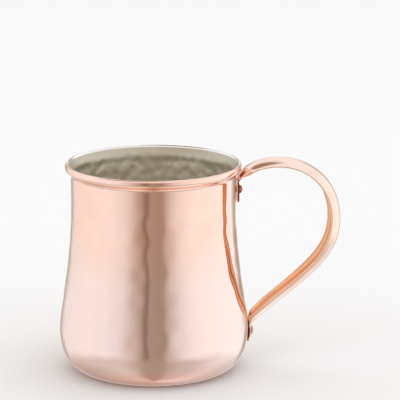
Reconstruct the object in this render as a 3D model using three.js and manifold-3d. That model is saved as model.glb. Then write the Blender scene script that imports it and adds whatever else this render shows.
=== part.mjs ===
// A handmade copper mug with a silver-coloured lining: a spun and hammered
// copper shell, a thin liner that is spun over its rim, and a channelled strap
// handle held by two solid rivets. Millimetres, +Z up. The origin is on the
// cup's axis at the underside of its base, and the handle points along +X.
import * as THREE from 'three';
import * as BufferGeometryUtils from 'three/addons/utils/BufferGeometryUtils.js';
import Module from 'manifold-3d';

// ---- driving dimensions -----------------------------------------------------

const cupHeight = 97.9;          // underside of the base to the crest of the rim
const rimRadius = 41;            // outside of the rolled rim
const rimBeadHeight = 1.7;       // half the height of the rolled rim
const rimBeadWidth = 0.95;       // half its width
const neckRadius = 38.3;         // outside of the straight neck
const flareHeight = 5.9;         // below the crest, where the neck starts to flare
const hoodAngle = 75;            // degrees above level at which the liner's hood ends, outside
const neckHeight = 16.9;         // below the crest, where the neck starts to widen
const bellyRadius = 44.3;        // outside of the belly, the widest part
const bellyHeight = 19;          // height of the widest part
const footRadius = 31.4;         // flat part of the base
const cornerReach = 6;           // how far the base stays nearly flat past footRadius
const neckEase = 0.475;          // share of the waist's height that the neck's curve eases over
const bellyEase = 0.152;         // the same for the belly's curve
const cornerEase = 0.74;         // roundness of the turn from the belly to the base

const shellWall = 0.8;           // copper sheet
const liningWall = 0.3;          // liner sheet
const liningGap = 0.15;          // between the copper and its liner

const strapThickness = 1.1;      // handle sheet
const strapGap = 0.3;            // between the handle's tabs and the wall
const tabWidth = 10.5;           // tabs that lie on the wall
const gripWidth = 14.3;          // widest part of the grip
const gripDepth = 4.45;          // depth of the channel at the middle of the grip
const endDepth = 3;              // depth of the channel near the tabs
const handleReach = 87.7;        // cup axis to the outermost point of the handle
const handleReachHeight = 69.6;  // height of that point
const handleRise = 1.6;          // top of the handle above the crest of the rim
const handleTopRadius = 58.7;    // cup axis to the top of the handle
const rimClearance = 1.4;        // handle's outer face past the rim, sideways
const rimBendDrop = 3.3;         // below the crest, where it passes the rim at 45 degrees
const upperTabTop = 9.4;         // below the crest, where the upper tab ends and the bend starts
const upperTabLength = 10.3;
const lowerTabTop = 18.2;        // height at which the lower tab ends and the bend starts
const lowerTabLength = 7;
const legStart = 2.45;           // lower end of the straight leg, out from the belly
const legRise = 2.2;             // the same point, up from the lower tab's top
const legAngle = 41;             // degrees that the straight leg climbs

const rivetShankRadius = 1.5;
const rivetHeadRadius = 2.1;
const upperHeadHeight = 1.6;     // the two heads were not set equally flat
const lowerHeadHeight = 0.9;
const upperRivetInset = 6.25;    // tab's end to the middle of its rivet
const lowerRivetInset = 4.95;
const rivetTailRadius = 2.6;     // the closed head inside the cup
const rivetTailHeight = 0.7;
const rivetHoleClearance = 0.15; // around the shank
const rivetSeatGap = 0.25;       // under each head

// The handle's curves: how far each end of a bend eases, as a share of its run.
const bendEase = [0.5, 0.42];    // out of the upper tab, and up past the rim
const crestEase = [0.29, 0.44];  // past the rim, and over the top
const shoulderEase = [0.52, 0.61];
const legEase = [0.33, 0.49];    // down from the outermost point, and into the leg
const footEase = [1.65, 0.9];    // millimetres, from the leg into the lower tab
const widenOver = [13.6, 14.5];  // distance past the upper and the lower tab to full width
const deepenOver = [8.4, 5.5];   // the same for the channel's depth
const channelEdge = 76;          // degrees that the channel's edges turn to

// Facets: around the cup and the rivets, along and across the handle.
const aroundSegments = 48;
const rivetSegments = 20;
const strapSegments = 56;
const strapStrips = 8;

// ---- solids and cuts ----------------------------------------------------------

const wasm = await Module();
wasm.setup();

/** A closed geometry as a manifold solid: only position is kept, equal points
    are merged and triangles that have no area are dropped. */
function toSolid(geometry) {
  const bare = geometry.clone();
  bare.deleteAttribute('normal');
  bare.deleteAttribute('uv');
  const merged = BufferGeometryUtils.mergeVertices(bare, 1e-4);
  const index = merged.index.array;
  const triangles = [];
  for (let i = 0; i < index.length; i += 3) {
    const [a, b, c] = [index[i], index[i + 1], index[i + 2]];
    if (a !== b && b !== c && c !== a) triangles.push(a, b, c);
  }
  return new wasm.Manifold(new wasm.Mesh({
    numProp: 3,
    vertProperties: new Float32Array(merged.attributes.position.array),
    triVerts: new Uint32Array(triangles),
  }));
}

/** A manifold solid as a geometry again. */
function toGeometry(solid) {
  const mesh = solid.getMesh();
  const geometry = new THREE.BufferGeometry();
  geometry.setAttribute('position', new THREE.BufferAttribute(mesh.vertProperties, 3));
  geometry.setIndex(new THREE.BufferAttribute(mesh.triVerts, 1));
  return geometry;
}

/** The geometry with every cutter taken out of it. */
function cut(geometry, cutters) {
  let solid = toSolid(geometry);
  for (const cutter of cutters) solid = solid.subtract(toSolid(cutter));
  return toGeometry(solid);
}

// ---- wall of the cup ------------------------------------------------------------
// Every outline is a list of (radius, height) points, from the base up.

const beadCentre = new THREE.Vector2(rimRadius - rimBeadWidth, cupHeight - rimBeadHeight);
const neckBottom = cupHeight - neckHeight;
const flareStart = cupHeight - flareHeight;

/** Points of a curve, without its first one. */
const along = (curve, divisions) => curve.getPoints(divisions).slice(1);

/** Outline of a wall whose outside is `inset` inside the copper's outside:
    flat base, rounded corner, belly, waist, and the straight neck up to the flare. */
function wallOutline(inset) {
  const base = new THREE.Vector2(footRadius, inset);
  const belly = new THREE.Vector2(bellyRadius - inset, bellyHeight);
  const neck = new THREE.Vector2(neckRadius - inset, neckBottom);
  const waist = neck.y - belly.y;
  const corner = new THREE.CubicBezierCurve(
    base,
    new THREE.Vector2(footRadius + cornerReach, inset),
    new THREE.Vector2(belly.x, belly.y - (belly.y - inset) * cornerEase),
    belly,
  );
  const side = new THREE.CubicBezierCurve(
    belly,
    new THREE.Vector2(belly.x, belly.y + waist * bellyEase),
    new THREE.Vector2(neck.x, neck.y - waist * neckEase),
    neck,
  );
  return [base, ...along(corner, 6), ...along(side, 7), new THREE.Vector2(neck.x, flareStart)];
}

/** The point at `angle` on the rolled rim's oval section, `inset` inside its outside. */
const beadPoint = (inset, angle) => new THREE.Vector2(
  beadCentre.x + (rimBeadWidth - inset) * Math.cos(angle),
  beadCentre.y + (rimBeadHeight - inset) * Math.sin(angle),
);

/** Flare from the neck at `inset` to a point of the bead. It leaves the neck upright
    and reaches the bead at a slope of `lean` sideways for each 0.4 of the rise. */
function flare(inset, beadInset, angle, lean) {
  const start = new THREE.Vector2(neckRadius - inset, flareStart);
  const end = beadPoint(beadInset, angle);
  const rise = end.y - start.y;
  return along(new THREE.CubicBezierCurve(
    start,
    new THREE.Vector2(start.x, start.y + rise * 0.45),
    new THREE.Vector2(end.x - rise * lean, end.y - rise * 0.4),
    end,
  ), 4);
}

/** Arc of the bead at `inset` between two angles, without its first point. */
const beadArc = (inset, from, to, divisions) => along(
  new THREE.EllipseCurve(
    beadCentre.x,
    beadCentre.y,
    rimBeadWidth - inset,
    rimBeadHeight - inset,
    from,
    to,
    to < from,
  ),
  divisions,
);

/** A solid of revolution about +Z whose outline closes on the axis. */
function revolve(outline) {
  const closed = [
    new THREE.Vector2(0, outline[0].y),
    ...outline,
    new THREE.Vector2(0, outline[outline.length - 1].y),
  ];
  return new THREE.LatheGeometry(closed, aroundSegments).rotateX(Math.PI / 2);
}

const lipInset = liningWall + liningGap;            // copper lip under the liner's hood
const liningOutside = shellWall + liningGap;
const liningInside = liningOutside + liningWall;

const flareAngle = -Math.PI / 5;                    // where the flare meets the bead outside
const mouthAngle = Math.PI * 0.75;                  // and inside, where the mouth opens out
const outerLean = 0.29;
const mouthLean = 0.22;
const hoodEnd = THREE.MathUtils.degToRad(hoodAngle);
const shellOutside = [
  ...wallOutline(0),
  ...flare(0, 0, flareAngle, outerLean),
  ...beadArc(0, flareAngle, hoodEnd, 3),
];
const shellLip = [
  beadPoint(lipInset, hoodEnd),
  ...beadArc(lipInset, hoodEnd, mouthAngle, 4),
];
const shellInside = [
  ...wallOutline(shellWall),
  ...flare(shellWall, lipInset, mouthAngle, mouthLean),
].reverse().slice(1);
const shellGeometry = revolve([...shellOutside, ...shellLip, ...shellInside]);

/** Angle on the bead at which the liner's hood ends, just above the copper's step. */
const hoodStart = (inset) => hoodEnd + Math.asin(liningGap / (rimBeadHeight - inset));
const liningUnder = [
  ...wallOutline(liningOutside),
  ...flare(liningOutside, liningWall, mouthAngle, mouthLean),
  ...beadArc(liningWall, mouthAngle, hoodStart(liningWall), 4),
];
const liningOver = [
  beadPoint(0, hoodStart(0)),
  ...beadArc(0, hoodStart(0), mouthAngle, 5),
];
const liningInner = [
  ...wallOutline(liningInside),
  ...flare(liningInside, 0, mouthAngle, mouthLean),
].reverse().slice(1);
const liningGeometry = revolve([...liningUnder, ...liningOver, ...liningInner]);

// ---- outside of the wall, for what seats on it ---------------------------------------

/** Outside radius of the copper, and the angle of its outward normal above level. */
function wallAt(height) {
  const outline = wallOutline(0);
  const i = outline.findIndex((point) => point.y >= height);
  const [low, high] = [outline[Math.max(i - 1, 0)], outline[Math.max(i, 1)]];
  const share = (height - low.y) / (high.y - low.y);
  return {
    radius: low.x + (high.x - low.x) * share,
    tilt: Math.atan2(low.x - high.x, high.y - low.y),
  };
}

/** The point `out` millimetres off the wall at a height, in the handle's plane. */
function offWall(height, out) {
  const { radius, tilt } = wallAt(height);
  return new THREE.Vector2(radius + out * Math.cos(tilt), height + out * Math.sin(tilt));
}

// ---- handle --------------------------------------------------------------------------
// The strap is a flat blank that is pressed to a channel and bent along this line,
// which is its outer face seen from the side: (distance from the axis, height).

const upperTabEnd = new THREE.Vector2(
  neckRadius + strapGap,
  cupHeight - upperTabTop - upperTabLength,
);
const upperBend = new THREE.Vector2(upperTabEnd.x, cupHeight - upperTabTop);
const pastRim = new THREE.Vector2(rimRadius + rimClearance, cupHeight - rimBendDrop);
const top = new THREE.Vector2(handleTopRadius, cupHeight + handleRise);
const outermost = new THREE.Vector2(handleReach, handleReachHeight);
const legEnd = new THREE.Vector2(bellyRadius + legStart, lowerTabTop + legRise);
const lowerTab = [0, 0.25, 0.5, 0.75, 1].map((share) => offWall(
  lowerTabTop - share * lowerTabLength,
  strapGap + strapThickness,
));
const legDirection = new THREE.Vector2(1, 0).rotateAround(
  new THREE.Vector2(),
  THREE.MathUtils.degToRad(legAngle),
);
const rimDirection = new THREE.Vector2(1, 1).normalize();
const move = (point, direction, distance) => point.clone().addScaledVector(direction, distance);
const level = new THREE.Vector2(1, 0);
const upward = new THREE.Vector2(0, 1);

const bendRise = pastRim.y - upperBend.y;
const toTop = top.x - pastRim.x;
const toReach = outermost.x - top.x;
const drop = top.y - outermost.y;
const leg = outermost.distanceTo(legEnd);

const strapLine = new THREE.CurvePath();
strapLine.add(new THREE.LineCurve(upperTabEnd, upperBend));
strapLine.add(new THREE.CubicBezierCurve(
  upperBend,
  move(upperBend, upward, bendRise * bendEase[0]),
  move(pastRim, rimDirection, -bendRise * bendEase[1]),
  pastRim,
));
strapLine.add(new THREE.CubicBezierCurve(
  pastRim,
  move(pastRim, rimDirection, toTop * crestEase[0]),
  move(top, level, -toTop * crestEase[1]),
  top,
));
strapLine.add(new THREE.CubicBezierCurve(
  top,
  move(top, level, toReach * shoulderEase[0]),
  move(outermost, upward, drop * shoulderEase[1]),
  outermost,
));
strapLine.add(new THREE.CubicBezierCurve(
  outermost,
  move(outermost, upward, -leg * legEase[0]),
  move(legEnd, legDirection, leg * legEase[1]),
  legEnd,
));
strapLine.add(new THREE.CubicBezierCurve(
  legEnd,
  move(legEnd, legDirection, -footEase[0]),
  move(lowerTab[0], upward, footEase[1]),
  lowerTab[0],
));
strapLine.add(new THREE.SplineCurve(lowerTab));

const strapLength = strapLine.getLength();
const smooth = (value, from, to) => THREE.MathUtils.smoothstep(value, from, to);

/** Half width, channel depth and end rounding of the strap at a distance along it.
    In the tabs the depth is the bow that follows the wall. */
function strapSection(distance) {
  const fromUpper = distance - upperTabLength;
  const fromLower = strapLength - lowerTabLength - distance;
  const widen = Math.min(
    smooth(fromUpper, 0, widenOver[0]),
    smooth(fromLower, 0, widenOver[1]),
  );
  let halfWidth = (tabWidth + (gripWidth - tabWidth) * widen) / 2;
  const fromEnd = Math.min(distance, strapLength - distance);
  const endRadius = tabWidth / 2;
  if (fromEnd < endRadius) {
    const rounding = Math.sqrt(1 - (1 - fromEnd / endRadius) ** 2);
    halfWidth *= Math.max(rounding, 0.22);
  }
  const bow = halfWidth ** 2 / 2;
  const upperBow = -bow / neckRadius;
  const lowerBow = bow / bellyRadius;
  const grip = strapLength - upperTabLength - lowerTabLength;
  const share = THREE.MathUtils.clamp(fromUpper / grip, 0, 1);
  const middle = Math.sin(Math.PI * share) ** 2;
  const deepen = smooth(fromUpper, 0, deepenOver[0]) * smooth(fromLower, 0, deepenOver[1]);
  const channel = (endDepth + (gripDepth - endDepth) * middle) * deepen;
  const tabBow = upperBow * (1 - smooth(fromUpper, 0, 3)) + lowerBow * smooth(share, 0.3, 0.7);
  return { halfWidth, depth: tabBow + channel };
}

/** Distances along the strap: close together at the tab ends and in the bends. */
function strapStations() {
  const dense = [0, 0.4, 1.1, 2.2, 3.7, 5.3];
  const fromUpper = [...dense, 7.6, upperTabLength];
  for (let i = 1; i <= 8; i += 1) fromUpper.push(upperTabLength + i * 1.15);
  const fromLower = [...dense, lowerTabLength];
  for (let i = 1; i <= 6; i += 1) fromLower.push(lowerTabLength + i * 1.15);
  const start = fromUpper[fromUpper.length - 1];
  const end = strapLength - fromLower[fromLower.length - 1];
  const between = strapSegments - (fromUpper.length - 1) - (fromLower.length - 1);
  const middle = [];
  for (let i = 1; i < between; i += 1) middle.push(start + (end - start) * i / between);
  return [...fromUpper, ...middle, ...fromLower.reverse().map((d) => strapLength - d)];
}

/** The blank, bent: a box's grid is carried along the strap line. Across it the
    section is an elliptic arc that ends nearly square to the channel's opening. */
function strapGeometry() {
  const stations = strapStations();
  const blank = new THREE.BoxGeometry(strapSegments, 2, 1, strapSegments, strapStrips, 1);
  const position = blank.attributes.position;
  const edgeAngle = THREE.MathUtils.degToRad(channelEdge);
  for (let i = 0; i < position.count; i += 1) {
    const station = Math.round(position.getX(i) + strapSegments / 2);
    const across = position.getY(i) * edgeAngle;
    const inward = position.getZ(i) < 0 ? strapThickness : 0;
    const distance = stations[station];
    const share = THREE.MathUtils.clamp(distance / strapLength, 0, 1);
    const point = strapLine.getPointAt(share);
    const tangent = strapLine.getTangentAt(share);
    const outward = new THREE.Vector2(-tangent.y, tangent.x);
    const { halfWidth, depth } = strapSection(distance);
    const side = halfWidth * Math.sin(across) / Math.sin(edgeAngle);
    const sink = depth * (1 - Math.cos(across)) / (1 - Math.cos(edgeAngle));
    const alongSide = halfWidth * Math.cos(across) / Math.sin(edgeAngle);
    const alongSink = depth * Math.sin(across) / (1 - Math.cos(edgeAngle));
    const length = Math.hypot(alongSide, alongSink);
    const y = side - inward * alongSink / length;
    const n = -sink - inward * alongSide / length;
    position.setXYZ(i, point.x + outward.x * n, y, point.y + outward.y * n);
  }
  return blank;
}

// ---- rivets ------------------------------------------------------------------------------

const upperRivetHeight = upperTabEnd.y + upperRivetInset;
const lowerRivetHeight = lowerTabTop - lowerTabLength + lowerRivetInset;

/** Where a rivet crosses the wall, and the turn that lays it along the wall's normal. */
function rivetPlace(height) {
  const { radius, tilt } = wallAt(height);
  return { position: new THREE.Vector3(radius, 0, height), turn: Math.PI / 2 - tilt };
}

const outerSeat = strapGap + strapThickness + rivetSeatGap;
const innerSeat = -(liningInside + rivetSeatGap);

/** A rivet about +Z with the wall's outside at z = 0: domed head, shank, closed head. */
function rivetGeometry(headHeight) {
  const quarter = Math.PI / 2;
  const dome = new THREE.EllipseCurve(0, outerSeat, rivetHeadRadius, headHeight, 0, quarter);
  const edge = rivetTailHeight * 0.4;
  const outline = [
    new THREE.Vector2(0, innerSeat - rivetTailHeight),
    new THREE.Vector2(rivetTailRadius - edge, innerSeat - rivetTailHeight),
    new THREE.Vector2(rivetTailRadius, innerSeat - rivetTailHeight + edge),
    new THREE.Vector2(rivetTailRadius, innerSeat),
    new THREE.Vector2(rivetShankRadius, innerSeat),
    new THREE.Vector2(rivetShankRadius, outerSeat),
    ...dome.getPoints(5).slice(0, -1),
    new THREE.Vector2(0, outerSeat + headHeight),
  ];
  return new THREE.LatheGeometry(outline, rivetSegments).rotateX(Math.PI / 2);
}

/** The hole for a rivet's shank, through everything that it holds together. */
function rivetHole({ position, turn }) {
  const radius = rivetShankRadius + rivetHoleClearance;
  const hole = new THREE.CylinderGeometry(radius, radius, 8, rivetSegments).rotateX(Math.PI / 2);
  return hole.rotateY(turn).translate(position.x, position.y, position.z);
}

const upperRivetPlace = rivetPlace(upperRivetHeight);
const lowerRivetPlace = rivetPlace(lowerRivetHeight);
const holes = [upperRivetPlace, lowerRivetPlace].map(rivetHole);

// ---- assembly ----------------------------------------------------------------------------

const copper = { color: 0xe3a583, roughness: 0.16, metalness: 1 };
const strapCopper = { color: 0xdf9a76, roughness: 0.2, metalness: 1 };
const rivetCopper = { color: 0xc77f5c, roughness: 0.28, metalness: 1 };
const silver = { color: 0xb9b4a8, roughness: 0.3, metalness: 1 };

function piece(name, geometry, finish) {
  const mesh = new THREE.Mesh(geometry, new THREE.MeshStandardMaterial(finish));
  mesh.name = name;
  return mesh;
}

function rivet(name, { position, turn }, headHeight) {
  const mesh = piece(name, toGeometry(toSolid(rivetGeometry(headHeight))), rivetCopper);
  mesh.position.copy(position);
  mesh.rotation.y = turn;
  return mesh;
}

const mug = new THREE.Group();
mug.add(piece('cup_shell', cut(shellGeometry, holes), copper));
mug.add(piece('inner_lining', cut(liningGeometry, holes), silver));
mug.add(piece('handle_strap', cut(strapGeometry(), holes), strapCopper));
mug.add(rivet('upper_rivet', upperRivetPlace, upperHeadHeight));
mug.add(rivet('lower_rivet', lowerRivetPlace, lowerHeadHeight));

export default mug;
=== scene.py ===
import math

import bpy
import numpy as np
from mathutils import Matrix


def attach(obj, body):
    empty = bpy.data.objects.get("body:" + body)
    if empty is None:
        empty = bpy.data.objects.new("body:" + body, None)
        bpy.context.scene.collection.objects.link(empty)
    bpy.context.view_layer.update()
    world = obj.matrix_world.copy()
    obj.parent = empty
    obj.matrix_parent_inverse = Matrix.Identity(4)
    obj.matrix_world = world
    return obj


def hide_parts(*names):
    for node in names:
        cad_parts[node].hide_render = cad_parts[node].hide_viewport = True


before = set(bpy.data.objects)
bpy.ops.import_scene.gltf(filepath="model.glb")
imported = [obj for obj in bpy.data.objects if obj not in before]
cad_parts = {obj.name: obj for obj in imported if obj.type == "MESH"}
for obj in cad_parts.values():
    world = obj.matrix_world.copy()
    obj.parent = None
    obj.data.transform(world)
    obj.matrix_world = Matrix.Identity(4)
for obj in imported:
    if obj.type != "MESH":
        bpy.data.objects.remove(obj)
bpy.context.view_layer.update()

scene = bpy.context.scene

# ---- camera ---------------------------------------------------------------------
# It stands a good metre from the mug, a little above the rim, and looks slightly
# down at it. The handle points a few degrees away from it.

MM = 0.001                                   # every size below is in millimetres
handle_turn = math.radians(3.9)              # the handle's turn away from the camera
camera_distance, camera_height = 1100, 335
camera_pitch, camera_yaw = 0.227885, 0.019623
camera_focus = 218.81                        # on a 36 mm frame

camera = bpy.data.objects.new("camera", bpy.data.cameras.new("camera"))
camera.data.lens = camera_focus
camera.data.sensor_width = 36
camera.data.clip_end = 100
camera.location = (
    -camera_distance * math.sin(handle_turn) * MM,
    -camera_distance * math.cos(handle_turn) * MM,
    camera_height * MM,
)
camera.rotation_euler = (math.pi / 2 - camera_pitch, 0, -(camera_yaw + handle_turn))
scene.collection.objects.link(camera)
scene.camera = camera
scene.view_settings.view_transform = "Standard"

# ---- studio ---------------------------------------------------------------------
# White softboxes stand all round a pale table. They leave a dark gap in front, where
# the room shows between them, and a narrow grey one at each back corner.


def linear(hex_colour):
    """Linear RGBA of an sRGB hex colour: each channel goes through sRGB's curve."""
    value = [int(hex_colour[i:i + 2], 16) / 255 for i in (1, 3, 5)]
    return [c / 12.92 if c <= 0.04045 else ((c + 0.055) / 1.055) ** 2.4 for c in value] + [1]


def add(tree, kind, inputs=None, **settings):
    """Adds a node. Each input is a value, or another node's output to link."""
    node = tree.nodes.new(kind)
    for name, value in settings.items():
        setattr(node, name, value)
    for name, value in (inputs or {}).items():
        if isinstance(value, bpy.types.NodeSocket):
            tree.links.new(value, node.inputs[name])
        else:
            node.inputs[name].default_value = value
    return node


def set_ramp(node, stops, low, high):
    """Fills a colour ramp from (place, colour) stops, with low..high spread over 0..1."""
    ramp = node.color_ramp
    for i, (place, colour) in enumerate(stops):
        at = (place - low) / (high - low)
        stop = ramp.elements[i] if i < 2 else ramp.elements.new(at)
        stop.position = at
        stop.color = [*colour, 1]
    return node


def lit(level, brightest=1.3):
    """Colour of the surroundings at a level of light, as a share of the brightest: the
    softboxes are a little cool, and the dim parts between them are warmer."""
    dim = max(0.0, 1 - level)
    tint = (0.95 + 0.25 * dim, 1 - 0.12 * dim, 1.04 - 0.42 * dim)
    return [level * c / brightest for c in tint]


# Light round the mug: (degrees from the camera's side towards the handle, level).
round_light = [
    (-180, 0.96), (-171, 0.92), (-163, 0.5), (-155, 0.6), (-142, 1.02), (-120, 1.12),
    (-90, 1.16), (-62, 1.12), (-47, 1.03), (-38, 0.92), (-31, 0.8), (-24, 0.62),
    (-17, 0.46), (-12.5, 0.33), (-9, 0.25), (-6.5, 0.33), (-3, 0.42), (8, 0.39),
    (12.5, 0.42), (17, 0.58), (22, 0.75), (30, 0.92), (42, 1.08), (60, 1.2),
    (90, 1.26), (124, 1.28), (137, 1.2), (146, 0.66), (153, 0.42), (161, 0.66),
    (171, 0.94), (180, 0.96),
]
table_light = [
    (-180, 0.74), (-52, 0.8), (-35, 0.68), (-23, 0.54), (-13, 0.45), (8, 0.43),
    (14, 0.47), (22, 0.58), (36, 0.68), (54, 0.72), (72, 0.86), (100, 1.04),
    (150, 1.0), (180, 0.74),
]
# Heights in the surroundings, in degrees above level: the table's light gives way to the
# softboxes, and they to the ceiling. Straight below the mug the table is brighter.
under_mug, under_mug_ends, under_mug_gain = -80, -45, 1.4
table_top, table_edge = -34, -21
softbox_top, ceiling = 14, 38
overhead_light = 1.08

# There is a round gap between the softboxes overhead, a little to the mug's left.
gap_tilt, gap_inside, gap_outside = math.radians(18), math.radians(17), math.radians(33)
gap_light = (0.3, 0.19, 0.13, 1)
softbox_power = 1.3

world = bpy.data.worlds.new("studio")
scene.world = world
world.use_nodes = True
tree = world.node_tree
tree.nodes.clear()
direction = add(tree, "ShaderNodeTexCoord").outputs["Generated"]
axes = add(tree, "ShaderNodeSeparateXYZ", {0: direction})
front = add(tree, "ShaderNodeMath", {0: axes.outputs["Y"], 1: -1.0}, operation="MULTIPLY")
turn = add(tree, "ShaderNodeMath", {0: axes.outputs["X"], 1: front.outputs[0]}, operation="ARCTAN2")
place = add(tree, "ShaderNodeMapRange", {
    "Value": turn.outputs[0],
    "From Min": -math.pi - handle_turn,
    "From Max": math.pi - handle_turn,
}).outputs["Result"]
rise = add(tree, "ShaderNodeMath", {0: axes.outputs["Z"]}, operation="ARCSINE").outputs[0]
sides = set_ramp(
    add(tree, "ShaderNodeValToRGB", {"Fac": place}),
    [(at, lit(level)) for at, level in round_light], -180, 180)
table = set_ramp(
    add(tree, "ShaderNodeValToRGB", {"Fac": place}),
    [(at, lit(level)) for at, level in table_light], -180, 180)
deeper = add(tree, "ShaderNodeMapRange", {
    "Value": rise, "From Min": math.radians(under_mug), "From Max": math.radians(under_mug_ends),
    "To Min": under_mug_gain, "To Max": 1.0,
})
near_table = add(tree, "ShaderNodeVectorMath", {
    0: table.outputs["Color"], "Scale": deeper.outputs["Result"],
}, operation="SCALE")
to_table = add(tree, "ShaderNodeMapRange", {
    "Value": rise, "From Min": math.radians(table_top), "From Max": math.radians(table_edge),
    "To Min": 1.0, "To Max": 0.0,
}, interpolation_type="SMOOTHSTEP")
to_ceiling = add(tree, "ShaderNodeMapRange", {
    "Value": rise, "From Min": math.radians(softbox_top), "From Max": math.radians(ceiling),
}, interpolation_type="SMOOTHSTEP")
level_light = add(tree, "ShaderNodeMixRGB", {
    "Fac": to_table.outputs["Result"], "Color1": sides.outputs["Color"],
    "Color2": near_table.outputs[0],
})
all_light = add(tree, "ShaderNodeMixRGB", {
    "Fac": to_ceiling.outputs["Result"], "Color1": level_light.outputs["Color"],
    "Color2": [*lit(overhead_light), 1],
})
towards_gap = add(tree, "ShaderNodeVectorMath", {
    0: direction, 1: (-math.sin(gap_tilt), 0, math.cos(gap_tilt)),
}, operation="DOT_PRODUCT").outputs["Value"]
in_gap = add(tree, "ShaderNodeMapRange", {
    "Value": towards_gap, "From Min": math.cos(gap_outside), "From Max": math.cos(gap_inside),
}, interpolation_type="SMOOTHSTEP").outputs["Result"]
gapped = add(tree, "ShaderNodeMixRGB", {
    "Fac": in_gap, "Color1": all_light.outputs["Color"], "Color2": gap_light,
})
background = add(tree, "ShaderNodeBackground", {
    "Color": gapped.outputs["Color"], "Strength": softbox_power,
})
add(tree, "ShaderNodeOutputWorld", {"Surface": background.outputs[0]})

# The table is matt and pale. It doesn't mirror in the copper, because the softboxes'
# light on it, which is what the copper shows, is already in the world's lower half.
# A wide, slightly warm lamp above fills the table's own light up to white.
fill_size, fill_height, fill_power = 5000, 2000, 16.4
fill = bpy.data.objects.new("table_fill", bpy.data.lights.new("table_fill", "AREA"))
fill.data.shape = "DISK"
fill.data.size = fill_size * MM
fill.data.energy = fill_power
fill.data.color = (1.0, 0.89, 0.78)
fill.location = (0, 0, fill_height * MM)
fill.visible_glossy = False
scene.collection.objects.link(fill)
table_size = 6000
bpy.ops.mesh.primitive_plane_add(size=table_size * MM)
floor = bpy.context.object
floor.name = "table"
floor.visible_glossy = False
matt = bpy.data.materials.new("pale_table")
matt.use_nodes = True
matt.node_tree.nodes["Principled BSDF"].inputs["Base Color"].default_value = linear("#F5F5F5")
matt.node_tree.nodes["Principled BSDF"].inputs["Roughness"].default_value = 0.9
floor.data.materials.append(matt)

# ---- copper shell ------------------------------------------------------------------
# Spun from 0.8 mm copper sheet, then planished by hand over a stake, so that wide and
# very shallow hammer marks cover the belly. The neck and the flare are left smooth.
# It is polished to a mirror and lacquered.

cup_height, rim_radius, bead_width, bead_height = 97.9, 41.0, 0.95, 1.7
neck_radius, flare_height, neck_height = 38.3, 5.9, 16.9
belly_radius, belly_height = 44.3, 19.0
foot_radius, corner_reach = 31.4, 6.0
neck_ease, belly_ease, corner_ease = 0.475, 0.152, 0.74
shell_wall, lining_wall, lining_gap = 0.8, 0.3, 0.15
lip_inset = lining_wall + lining_gap
bead_centre = np.array([rim_radius - bead_width, cup_height - bead_height])


def bezier(points, count):
    """Points of a cubic Bezier curve: (1-t)^3, 3t(1-t)^2, 3t^2(1-t) and t^3 weigh its
    four control points."""
    t = np.linspace(0, 1, count)[:, None]
    a, b, c, d = np.asarray(points, float)
    return (1 - t) ** 3 * a + 3 * t * (1 - t) ** 2 * b + 3 * t * t * (1 - t) * c + t ** 3 * d


def wall(inset, scale=1):
    """Outline (radius, height) of a wall inset from the copper's outside: a flat base,
    two cubic curves through the belly, and the straight neck."""
    neck_bottom, flare_start = cup_height - neck_height, cup_height - flare_height
    waist = neck_bottom - belly_height
    belly, neck = belly_radius - inset, neck_radius - inset
    base = np.linspace([0.6, inset], [foot_radius, inset], 32 * scale)
    corner = bezier([
        (foot_radius, inset), (foot_radius + corner_reach, inset),
        (belly, belly_height - (belly_height - inset) * corner_ease), (belly, belly_height),
    ], 30 * scale)
    side = bezier([
        (belly, belly_height), (belly, belly_height + waist * belly_ease),
        (neck, neck_bottom - waist * neck_ease), (neck, neck_bottom),
    ], 70 * scale)
    straight = np.linspace([neck, neck_bottom], [neck, flare_start], 10 * scale)
    return np.vstack([base, corner[1:], side[1:], straight[1:]])


def bead(inset, start, end, count):
    """Arc of the rolled rim's oval section: its centre plus half its width times cos
    and half its height times sin, both less the inset."""
    angle = np.linspace(start, end, count)[:, None]
    half = np.array([bead_width, bead_height]) - inset
    return bead_centre + half * np.hstack([np.cos(angle), np.sin(angle)])


def flare(inset, bead_inset, angle, lean):
    """Cubic curve from the top of the neck out to the rolled rim."""
    start = np.array([neck_radius - inset, cup_height - flare_height])
    end = bead(bead_inset, angle, angle, 1)[0]
    rise = end[1] - start[1]
    return bezier([start, start + [0, rise * 0.45], end - [rise * lean, rise * 0.4], end], 16)


def revolve(outline, columns):
    """Turns a (radius, height) outline round +Z: column k stands at 2 pi k / columns.
    Returns the points as (rows, columns, 3) and the outward normals as the same."""
    angle = 2 * np.pi * np.arange(columns) / columns
    step = np.gradient(outline, axis=0)
    step /= np.linalg.norm(step, axis=1)[:, None] + 1e-12
    cos, sin = np.cos(angle), np.sin(angle)
    radius, height = outline[:, :1], outline[:, 1:]
    points = np.stack([radius * cos, radius * sin, height + 0 * cos], -1)
    normals = np.stack([step[:, 1:] * cos, step[:, 1:] * sin, -step[:, :1] + 0 * cos], -1)
    return points, normals


def hammer(across, along, count, seed, spread=0.3, reach=0.3):
    """Depth 0..1 of hammer marks at (across, along), both counted in marks. Each cell
    of a grid with `count` marks round has one mark at a random place in it, a Gaussian
    dish, and the dishes of the nine nearest cells add up."""
    rng = np.random.default_rng(seed)
    rows = int(np.ceil(along.max())) + 4
    place_in_cell = rng.uniform(0.5 - spread, 0.5 + spread, (rows, count, 2))
    force = rng.uniform(0.35, 1, (rows, count))
    depth = np.zeros(np.broadcast(across, along).shape)
    for i in (-1, 0, 1):
        for j in (-1, 0, 1):
            column, row = np.floor(across) + i, np.floor(along) + j
            c, r = column.astype(int) % count, row.astype(int) + 1
            centre = place_in_cell[r, c]
            away = (across - column - centre[..., 0]) ** 2 + (along - row - centre[..., 1]) ** 2
            depth += force[r, c] * np.exp(-away / (2 * reach ** 2))
    return depth


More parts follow.
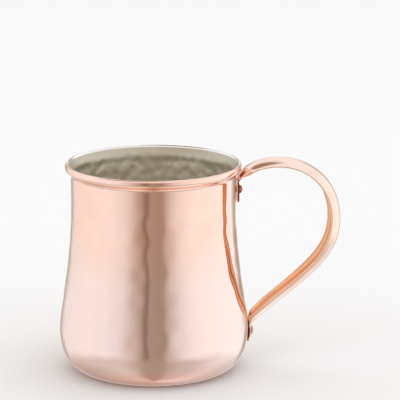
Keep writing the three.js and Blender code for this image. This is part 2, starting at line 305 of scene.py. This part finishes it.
def smooth(value, low, high):
    """0 below low, 1 above high, and 3t^2 - 2t^3 between."""
    t = np.clip((value - low) / (high - low), 0, 1)
    return t * t * (3 - 2 * t)


def skin(name, points, ends):
    """Mesh of a grid of points in millimetres, (rows, columns, 3), whose columns wrap
    round. Each end is closed by a pole at the given point, or by one flat face."""
    rows, columns = points.shape[:2]
    index = np.arange(rows * columns).reshape(rows, columns)
    beside = np.roll(index, -1, axis=1)
    faces = np.stack([index[:-1], beside[:-1], beside[1:], index[1:]], -1).reshape(-1, 4).tolist()
    vertices = points.reshape(-1, 3)
    for end, ring in ((0, index[0][::-1]), (1, index[-1])):
        if ends[end] is None:
            faces.append(ring.tolist())
        else:
            pole = len(vertices)
            vertices = np.vstack([vertices, ends[end]])
            fan = np.stack([ring, np.roll(ring, -1), np.full(columns, pole)], -1)
            faces += fan.tolist()
    mesh = bpy.data.meshes.new(name)
    mesh.from_pydata((vertices * MM).tolist(), [], faces)
    mesh.polygons.foreach_set("use_smooth", np.ones(len(mesh.polygons), bool))
    mesh.update()
    piece = bpy.data.objects.new(name, mesh)
    scene.collection.objects.link(piece)
    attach(piece, "root")
    return piece


flare_angle, hood_angle, mouth_angle = -math.pi / 5, math.radians(75), math.pi * 0.75
outer_lean, mouth_lean = 0.29, 0.22
shell_columns = 420

outside = np.vstack([
    wall(0, 2), flare(0, 0, flare_angle, outer_lean)[1:],
    bead(0, flare_angle, hood_angle, 12)[1:],
])
under_hood = bead(lip_inset, hood_angle, mouth_angle, 10)
inside = np.vstack([
    wall(shell_wall), flare(shell_wall, lip_inset, mouth_angle, mouth_lean)[1:],
])[::-1][1:]


def run_of(outline):
    """Distance along an outline from its first point."""
    return np.concatenate([[0], np.cumsum(np.linalg.norm(np.diff(outline, axis=0), axis=1))])


def hammered(outline, columns, depth, spacing, seed, top, bottom=4.0):
    """A revolved outline with hammer marks sunk along its normals. They fade in over the
    6 mm above the height `bottom` and out over the 10 mm below the height `top`."""
    points, normals = revolve(outline, columns)
    count = round(2 * math.pi * belly_radius / spacing)
    across = np.broadcast_to(count * np.arange(columns) / columns, points.shape[:2])
    along = np.broadcast_to((run_of(outline) / spacing)[:, None], points.shape[:2])
    marks = hammer(across, along, count, seed)
    height = outline[:, 1:]
    reach = smooth(height, bottom, bottom + 6) * (1 - smooth(height, top - 10, top))
    return points - normals * (depth * marks * reach)[..., None]


shell = skin("shell_planished", np.vstack([
    hammered(outside, shell_columns, depth=0.19, spacing=9.5, seed=4, top=86.0),
    revolve(np.vstack([under_hood, inside]), shell_columns)[0],
]), [(0, 0, 0), (0, 0, shell_wall)])
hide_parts("cup_shell")


def metal(name, light, dark, roughness, rougher, scratch, tarnish_size=22.0):
    """Polished metal, on Object coordinates in millimetres. A slow noise with patches of
    `tarnish_size` mixes its two tones and its two roughnesses, and a fine noise, squeezed
    along Z, raises polishing scratches `scratch` high."""
    material = bpy.data.materials.new(name)
    material.use_nodes = True
    tree = material.node_tree
    shader = tree.nodes["Principled BSDF"]
    coordinates = add(tree, "ShaderNodeTexCoord").outputs["Object"]
    millimetres = add(tree, "ShaderNodeVectorMath", {0: coordinates, "Scale": 1 / MM},
                      operation="SCALE").outputs[0]
    slow = add(tree, "ShaderNodeTexNoise", {
        "Vector": millimetres, "Scale": 1 / tarnish_size, "Detail": 4.0, "Roughness": 0.55,
    }).outputs["Fac"]
    spread = add(tree, "ShaderNodeMapRange", {
        "Value": slow, "From Min": 0.35, "From Max": 0.65,
    }).outputs["Result"]
    tone = add(tree, "ShaderNodeMixRGB", {
        "Fac": spread, "Color1": linear(light), "Color2": linear(dark),
    }).outputs["Color"]
    tree.links.new(tone, shader.inputs["Base Color"])
    gloss = add(tree, "ShaderNodeMapRange", {
        "Value": spread, "To Min": roughness, "To Max": rougher,
    }).outputs["Result"]
    tree.links.new(gloss, shader.inputs["Roughness"])
    squeezed = add(tree, "ShaderNodeMapping", {"Vector": millimetres, "Scale": (1.0, 1.0, 6.0)})
    fine = add(tree, "ShaderNodeTexNoise", {
        "Vector": squeezed.outputs[0], "Scale": 1.2, "Detail": 3.0,
    }).outputs["Fac"]
    bump = add(tree, "ShaderNodeBump", {
        "Height": fine, "Strength": 1.0, "Distance": scratch * MM,
    }).outputs["Normal"]
    tree.links.new(bump, shader.inputs["Normal"])
    shader.inputs["Metallic"].default_value = 1.0
    return material


def tone_by_height(material, tone, start, full, blend="SMOOTHSTEP"):
    """Mixes another tone into a metal's colour: none at the height `start` and all of it
    at the height `full`, both in millimetres."""
    tree = material.node_tree
    shader = tree.nodes["Principled BSDF"]
    coordinates = add(tree, "ShaderNodeTexCoord").outputs["Object"]
    height = add(tree, "ShaderNodeSeparateXYZ", {0: coordinates}).outputs["Z"]
    share = add(tree, "ShaderNodeMapRange", {
        "Value": height, "From Min": start * MM, "From Max": full * MM,
    }, interpolation_type=blend).outputs["Result"]
    mixed = add(tree, "ShaderNodeMixRGB", {
        "Fac": share, "Color1": shader.inputs["Base Color"].links[0].from_socket,
        "Color2": linear(tone),
    }).outputs["Color"]
    tree.links.new(mixed, shader.inputs["Base Color"])


# Polished copper: a warm pink mirror. Towards the belly it is painted paler and pinker, painted light
# for the light from above and its bounce. Towards the foot it is painted darker, painted shade for
# the table's contact shadow mirrored in the copper.
polished = metal("polished_copper", "#F6D2C2", "#F3CAB6", 0.04, 0.07, scratch=0.0006)
# Painted light: paler and pinker from 70 mm down, all of it at 40 mm.
tone_by_height(polished, "#F0D4CA", 70, 40)
# Painted shade: darker from 11 mm down, all of it at 3 mm, for the mirrored contact shadow.
tone_by_height(polished, "#C59888", 11, 3, "LINEAR")
shell.data.materials.append(polished)

# ---- lining ---------------------------------------------------------------------------
# A thin silver-coloured liner, spun over the rolled rim. It carries the marks of the
# hammer through from the outside, stronger than the copper does, and it has a satin,
# slightly warm grey surface.

lining_inside = shell_wall + lining_gap + lining_wall
hood_end = hood_angle + math.asin(lining_gap / (bead_height - lining_wall))
rim_end = hood_angle + math.asin(lining_gap / bead_height)
under = np.vstack([
    wall(shell_wall + lining_gap),
    flare(shell_wall + lining_gap, lining_wall, mouth_angle, mouth_lean)[1:],
    bead(lining_wall, mouth_angle, hood_end, 10)[1:],
])
over = bead(0, rim_end, mouth_angle, 14)
inner = np.vstack([
    wall(lining_inside, 2), flare(lining_inside, 0, mouth_angle, mouth_lean)[1:],
])[::-1][1:]
lining = skin("lining_satin", np.vstack([
    revolve(np.vstack([under, over]), shell_columns)[0],
    hammered(inner, shell_columns, depth=0.38, spacing=5.0, seed=9, top=99.0),
]), [(0, 0, shell_wall + lining_gap), (0, 0, lining_inside)])
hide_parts("inner_lining")

# The mouth is painted a little darker than the rest: painted shade that tones down the bright band of
# overhead light there.
satin = metal("satin_liner", "#F6EFE0", "#EFE6D4", 0.4, 0.5, scratch=0.002)
tone_by_height(satin, "#C4B8A5", 90, 94)
lining.data.materials.append(satin)

# Over the rim the liner was burnished as it was spun, so it is brighter and smoother.
burnished = metal("burnished_rim", "#EEE8E2", "#E4DCD4", 0.1, 0.16, scratch=0.001)
lining.data.materials.append(burnished)
rim_rows = np.arange(len(lining.data.polygons)) // shell_columns
on_rim = (rim_rows >= len(under)) & (rim_rows < len(under) + len(over))
lining.data.polygons.foreach_set("material_index", on_rim.astype(np.int32))

# ---- handle ------------------------------------------------------------------------------
# A strip of 1.1 mm copper sheet, pressed to a shallow channel with its open side to the
# fingers and bent to a loop. Its two ends are left flat as tabs that lie on the wall.

strap_thickness, strap_gap = 1.1, 0.3
tab_width, grip_width, grip_depth, end_depth = 10.5, 14.3, 4.45, 3.0
upper_tab_top, upper_tab_length = 9.4, 10.3      # the top is measured down from the rim
lower_tab_top, lower_tab_length = 18.2, 7.0
rim_clearance, rim_bend_drop = 1.4, 3.3          # where the strap passes the rim
handle_rise, handle_top_radius = 1.54, 58.7
handle_reach, handle_reach_height = 87.64, 69.6
leg_start, leg_rise, leg_angle = 2.45, 2.2, math.radians(41)
outline_of_wall = wall(0, 2)


def off_wall(height, out):
    """Point (distance from the axis, height) at `out` from the wall along its normal."""
    above = outline_of_wall[:, 1] > 0.01
    heights, radii = outline_of_wall[above, 1], outline_of_wall[above, 0]
    radius = np.interp(height, heights, radii)
    tilt = -np.arctan(np.interp(height, heights, np.gradient(radii, heights)))
    return np.stack([radius + out * np.cos(tilt), height + out * np.sin(tilt)], -1)


# The line of the strap: up the upper tab, past the rim, over the crest, out to the
# outermost point, down the straight leg and onto the lower tab. Each bend is one cubic
# curve, and the shares below say how far its two ends ease into it.
bend_ease, crest_ease = (0.5, 0.42), (0.29, 0.44)
shoulder_ease, leg_ease = (0.52, 0.61), (0.33, 0.49)
foot_ease = (1.65, 0.9)                          # millimetres
tab_end = np.array([neck_radius + strap_gap, cup_height - upper_tab_top - upper_tab_length])
tab_bend = np.array([tab_end[0], cup_height - upper_tab_top])
past_rim = np.array([rim_radius + rim_clearance, cup_height - rim_bend_drop])
crest = np.array([handle_top_radius, cup_height + handle_rise])
outermost = np.array([handle_reach, handle_reach_height])
leg_end = np.array([belly_radius + leg_start, lower_tab_top + leg_rise])
lower_tab = off_wall(
    lower_tab_top - np.linspace(0, 1, 40) * lower_tab_length, strap_gap + strap_thickness)
level, upward, forty_five = np.array([1, 0]), np.array([0, 1]), np.array([1, 1]) / math.sqrt(2)
leg_way = np.array([math.cos(leg_angle), math.sin(leg_angle)])
bend_rise, to_crest = past_rim[1] - tab_bend[1], crest[0] - past_rim[0]
to_reach, drop = outermost[0] - crest[0], crest[1] - outermost[1]
leg = np.linalg.norm(outermost - leg_end)
strap_line = np.vstack([
    np.linspace(tab_end, tab_bend, 60),
    bezier([tab_bend, tab_bend + upward * bend_rise * bend_ease[0],
            past_rim - forty_five * bend_rise * bend_ease[1], past_rim], 120)[1:],
    bezier([past_rim, past_rim + forty_five * to_crest * crest_ease[0],
            crest - level * to_crest * crest_ease[1], crest], 200)[1:],
    bezier([crest, crest + level * to_reach * shoulder_ease[0],
            outermost + upward * drop * shoulder_ease[1], outermost], 300)[1:],
    bezier([outermost, outermost - upward * leg * leg_ease[0],
            leg_end + leg_way * leg * leg_ease[1], leg_end], 400)[1:],
    bezier([leg_end, leg_end - leg_way * foot_ease[0], lower_tab[0] + upward * foot_ease[1],
            lower_tab[0]], 80)[1:],
    lower_tab[1:],
])
strap_length = run_of(strap_line)[-1]
run = np.linspace(0, strap_length, 1200)
strap_line = np.stack([np.interp(run, run_of(strap_line), strap_line[:, k]) for k in (0, 1)], -1)

# The loop was bent over a round former, so its curves run into each other softly: a
# Gaussian takes the last steps in curvature out of it. It fades in and out over the
# given distances from the strap's two ends, clear of the tabs.
softness, soften_in, soften_out = 2.5, (18, 30), (24, 14)
spread_in_steps, window = softness / run[1], 40
weights = np.exp(-np.arange(-window, window + 1) ** 2 / (2 * spread_in_steps ** 2))
softer = np.stack([np.convolve(np.pad(strap_line[:, k], window, mode="edge"),
                               weights / weights.sum(), mode="valid") for k in (0, 1)], -1)
in_loop = smooth(run, *soften_in) * (
    1 - smooth(run, strap_length - soften_out[0], strap_length - soften_out[1]))
strap_line = strap_line + (softer - strap_line) * in_loop[:, None]

channel_edge = math.radians(76)                  # how far the channel's edges turn
widen_over, deepen_over = (13.6, 14.5), (8.4, 5.5)   # distances past the two tabs
round_edge, tab_settling = 0.22, 0.18
lift_before, lift_over = (3, 2), 3               # the strap leaves the wall before the tabs end
shade_past = (3, 2)                              # how far past the two tabs the painted gap shade runs
outer_strips, edge_strips = 36, 6


def strap(distance):
    """Rings of the strap's section at distances along its line. Across, the section is
    an elliptic arc, half width times sin and depth times (1 - cos); the sheet's
    thickness is laid inward from it, and its two edges are rounded. At the tabs it is
    laid a little deeper, so that they lie close to the wall, and the depth follows the
    wall's own bow, half width squared over twice the wall's radius."""
    point = np.stack([np.interp(distance, run, strap_line[:, k]) for k in (0, 1)], -1)
    way = np.gradient(strap_line, run, axis=0)
    way = np.stack([np.interp(distance, run, way[:, k]) for k in (0, 1)], -1)
    way /= np.linalg.norm(way, axis=1)[:, None]
    outward = np.stack([-way[:, 1], way[:, 0]], -1)
    from_upper = distance - upper_tab_length
    from_lower = strap_length - lower_tab_length - distance
    widen = np.minimum(
        smooth(from_upper, 0, widen_over[0]), smooth(from_lower, 0, widen_over[1]))
    half = (tab_width + (grip_width - tab_width) * widen) / 2
    to_end = np.minimum(distance, strap_length - distance) / (tab_width / 2)
    half = half * np.sqrt(1 - (1 - np.clip(to_end, 0, 1)) ** 2)
    share = np.clip(from_upper / (strap_length - upper_tab_length - lower_tab_length), 0, 1)
    deepen = smooth(from_upper, 0, deepen_over[0]) * smooth(from_lower, 0, deepen_over[1])
    depth = (end_depth + (grip_depth - end_depth) * np.sin(np.pi * share) ** 2) * deepen
    bow = half ** 2 / 2
    depth = depth - bow / neck_radius * (1 - smooth(from_upper, 0, 3))
    depth = depth + bow / belly_radius * smooth(share, 0.3, 0.7)
    half = (half - round_edge * np.clip(half, 0, 1))[:, None]
    depth = depth[:, None]
    across = np.linspace(-channel_edge, channel_edge, outer_strips + 1)
    turn = np.linspace(0, math.pi, edge_strips + 1)[1:-1]
    edge = np.full(len(turn), channel_edge)
    angle = np.concatenate([across, edge, across[::-1], -edge])
    from_wall = np.minimum(from_upper + lift_before[0], from_lower + lift_before[1])
    settled = tab_settling * (1 - smooth(from_wall, 0, lift_over))
    inward = np.concatenate([
        0 * across, (1 - np.cos(turn)) / 2, 0 * across + 1, (1 + np.cos(turn)) / 2,
    ]) * (strap_thickness + settled[:, None])
    bulge = np.concatenate([0 * across, np.sin(turn), 0 * across, -np.sin(turn)]) * round_edge
    side = half * np.sin(angle) / math.sin(channel_edge)
    sink = depth * (1 - np.cos(angle)) / (1 - math.cos(channel_edge))
    along_side = half * np.cos(angle) / math.sin(channel_edge)
    along_sink = depth * np.sin(angle) / (1 - math.cos(channel_edge))
    size = np.hypot(along_side, along_sink)
    along_side, along_sink = along_side / size, along_sink / size
    y = side - inward * along_sink + bulge * along_side
    n = -sink - inward * along_side - bulge * along_sink
    return np.stack([
        point[:, :1] + outward[:, :1] * n, y, point[:, 1:] + outward[:, 1:] * n,
    ], -1)


tab_round = tab_width / 2 * (1 - np.cos(np.linspace(0.06, math.pi / 2, 24)))
stations = np.concatenate([
    tab_round, np.linspace(tab_round[-1], strap_length - tab_round[-1], 330)[1:-1],
    strap_length - tab_round[::-1],
])
rings = strap(stations)
handle = skin("handle_channelled", rings, [None, None])
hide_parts("handle_strap")

# The outside is polished and lacquered, and painted paler: a painted highlight for the
# softboxes' washed-out reflections. The inside is not buffed as far, so it is rougher, and it is
# painted more orange: a painted reflection of the copper in itself. The tabs' undersides, with the
# inner half of their edges, are painted dark brown: painted shade for the gap against the wall.
for finish in (
    metal("handle_copper", "#F9DCCD", "#F7D2BF", 0.13, 0.19, scratch=0.001),
    metal("handle_inside", "#F7C097", "#F4B68A", 0.16, 0.24, scratch=0.001),
    # Painted shade: dark brown for the gap between the tabs and the wall.
    metal("gap_shade_copper", "#94401F", "#6E2A12", 0.34, 0.42, scratch=0.004, tarnish_size=4.0),
):
    handle.data.materials.append(finish)
highlit_outer_face, inside_face, gap_shade_face = 0, 1, 2
across_count, half_edge = rings.shape[1], edge_strips // 2
index = np.arange(len(handle.data.polygons))
column = index % across_count
distance = stations[(index // across_count).clip(0, len(stations) - 1)]
on_edge = column % (outer_strips + edge_strips) >= outer_strips
on_inside = (column >= outer_strips + edge_strips) & ~on_edge
near_wall = (column >= outer_strips + half_edge) & (column < across_count - half_edge)
at_upper = distance < upper_tab_length + shade_past[0]
at_lower = distance > strap_length - lower_tab_length - shade_past[1]
finish_index = np.where(on_inside, inside_face, highlit_outer_face)
# The wall side of the tabs gets the painted gap shade.
finish_index[near_wall & (at_upper | at_lower)] = gap_shade_face
handle.data.polygons.foreach_set("material_index", finish_index.astype(np.int32))

# ---- rivets ---------------------------------------------------------------------------------
# Solid copper rivets, one through each tab. The heads were domed by hand, so they are
# slightly uneven, and they stay darker than the handle because they miss the polish.

shank_radius, head_radius, tail_radius, tail_height = 1.5, 2.1, 2.6, 0.7
seat_gap, unevenness = 0.25, 0.12
outer_seat = strap_gap + strap_thickness + seat_gap
inner_seat = -(lining_inside + seat_gap)


def rivet(head_height, height, seed, columns=48):
    """A rivet revolved about its own axis and then laid along the wall's normal at a
    height, with the two points that close its ends. Low sines in the angle and the
    height make its head uneven."""
    edge = tail_height * 0.4
    quarter = np.linspace(0, math.pi / 2, 16)[:-1]
    outline = np.vstack([
        np.linspace([0.2, inner_seat - tail_height], [tail_radius - edge, inner_seat - tail_height], 8),
        bezier([(tail_radius - edge, inner_seat - tail_height),
                (tail_radius, inner_seat - tail_height),
                (tail_radius, inner_seat - tail_height + edge),
                (tail_radius, inner_seat)], 8)[1:],
        np.linspace([shank_radius, inner_seat], [shank_radius, outer_seat], 12),
        np.stack([head_radius * np.cos(quarter), outer_seat + head_height * np.sin(quarter)], -1),
    ])
    points, normals = revolve(outline, columns)
    angle = 2 * np.pi * np.arange(columns) / columns
    uneven = 0.5 + 0.25 * np.sin(2 * angle + seed) + 0.25 * np.sin(5 * angle + outline[:, 1:] * 3)
    on_head = smooth(outline[:, 1:], outer_seat, outer_seat + head_height * 0.5)
    points = points - normals * (unevenness * uneven * on_head)[..., None]
    seat = off_wall(np.array([height]), 0)[0]
    ahead = off_wall(np.array([height]), 1)[0] - seat
    x, y, z = points[..., 0], points[..., 1], points[..., 2]
    return np.stack([
        seat[0] + x * ahead[1] + z * ahead[0], y, seat[1] - x * ahead[0] + z * ahead[1],
    ], -1), [
        (seat[0] + end * ahead[0], 0, seat[1] + end * ahead[1])
        for end in (inner_seat - tail_height, outer_seat + head_height - unevenness / 2)
    ]


rivet_copper = metal(
    "rivet_copper", "#C88461", "#8A4A30", 0.2, 0.32, scratch=0.01, tarnish_size=1.5)
upper_inset, lower_inset = 6.25, 4.95            # tab's end to the middle of its rivet
upper_height = tab_end[1] + upper_inset
lower_height = lower_tab_top - lower_tab_length + lower_inset
for node, head_height, height, seed in (
    ("upper_rivet", 1.6, upper_height, 0.4), ("lower_rivet", 0.9, lower_height, 2.1),
):
    piece = skin(node + "_domed", *rivet(head_height, height, seed))
    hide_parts(node)
    piece.data.materials.append(rivet_copper)
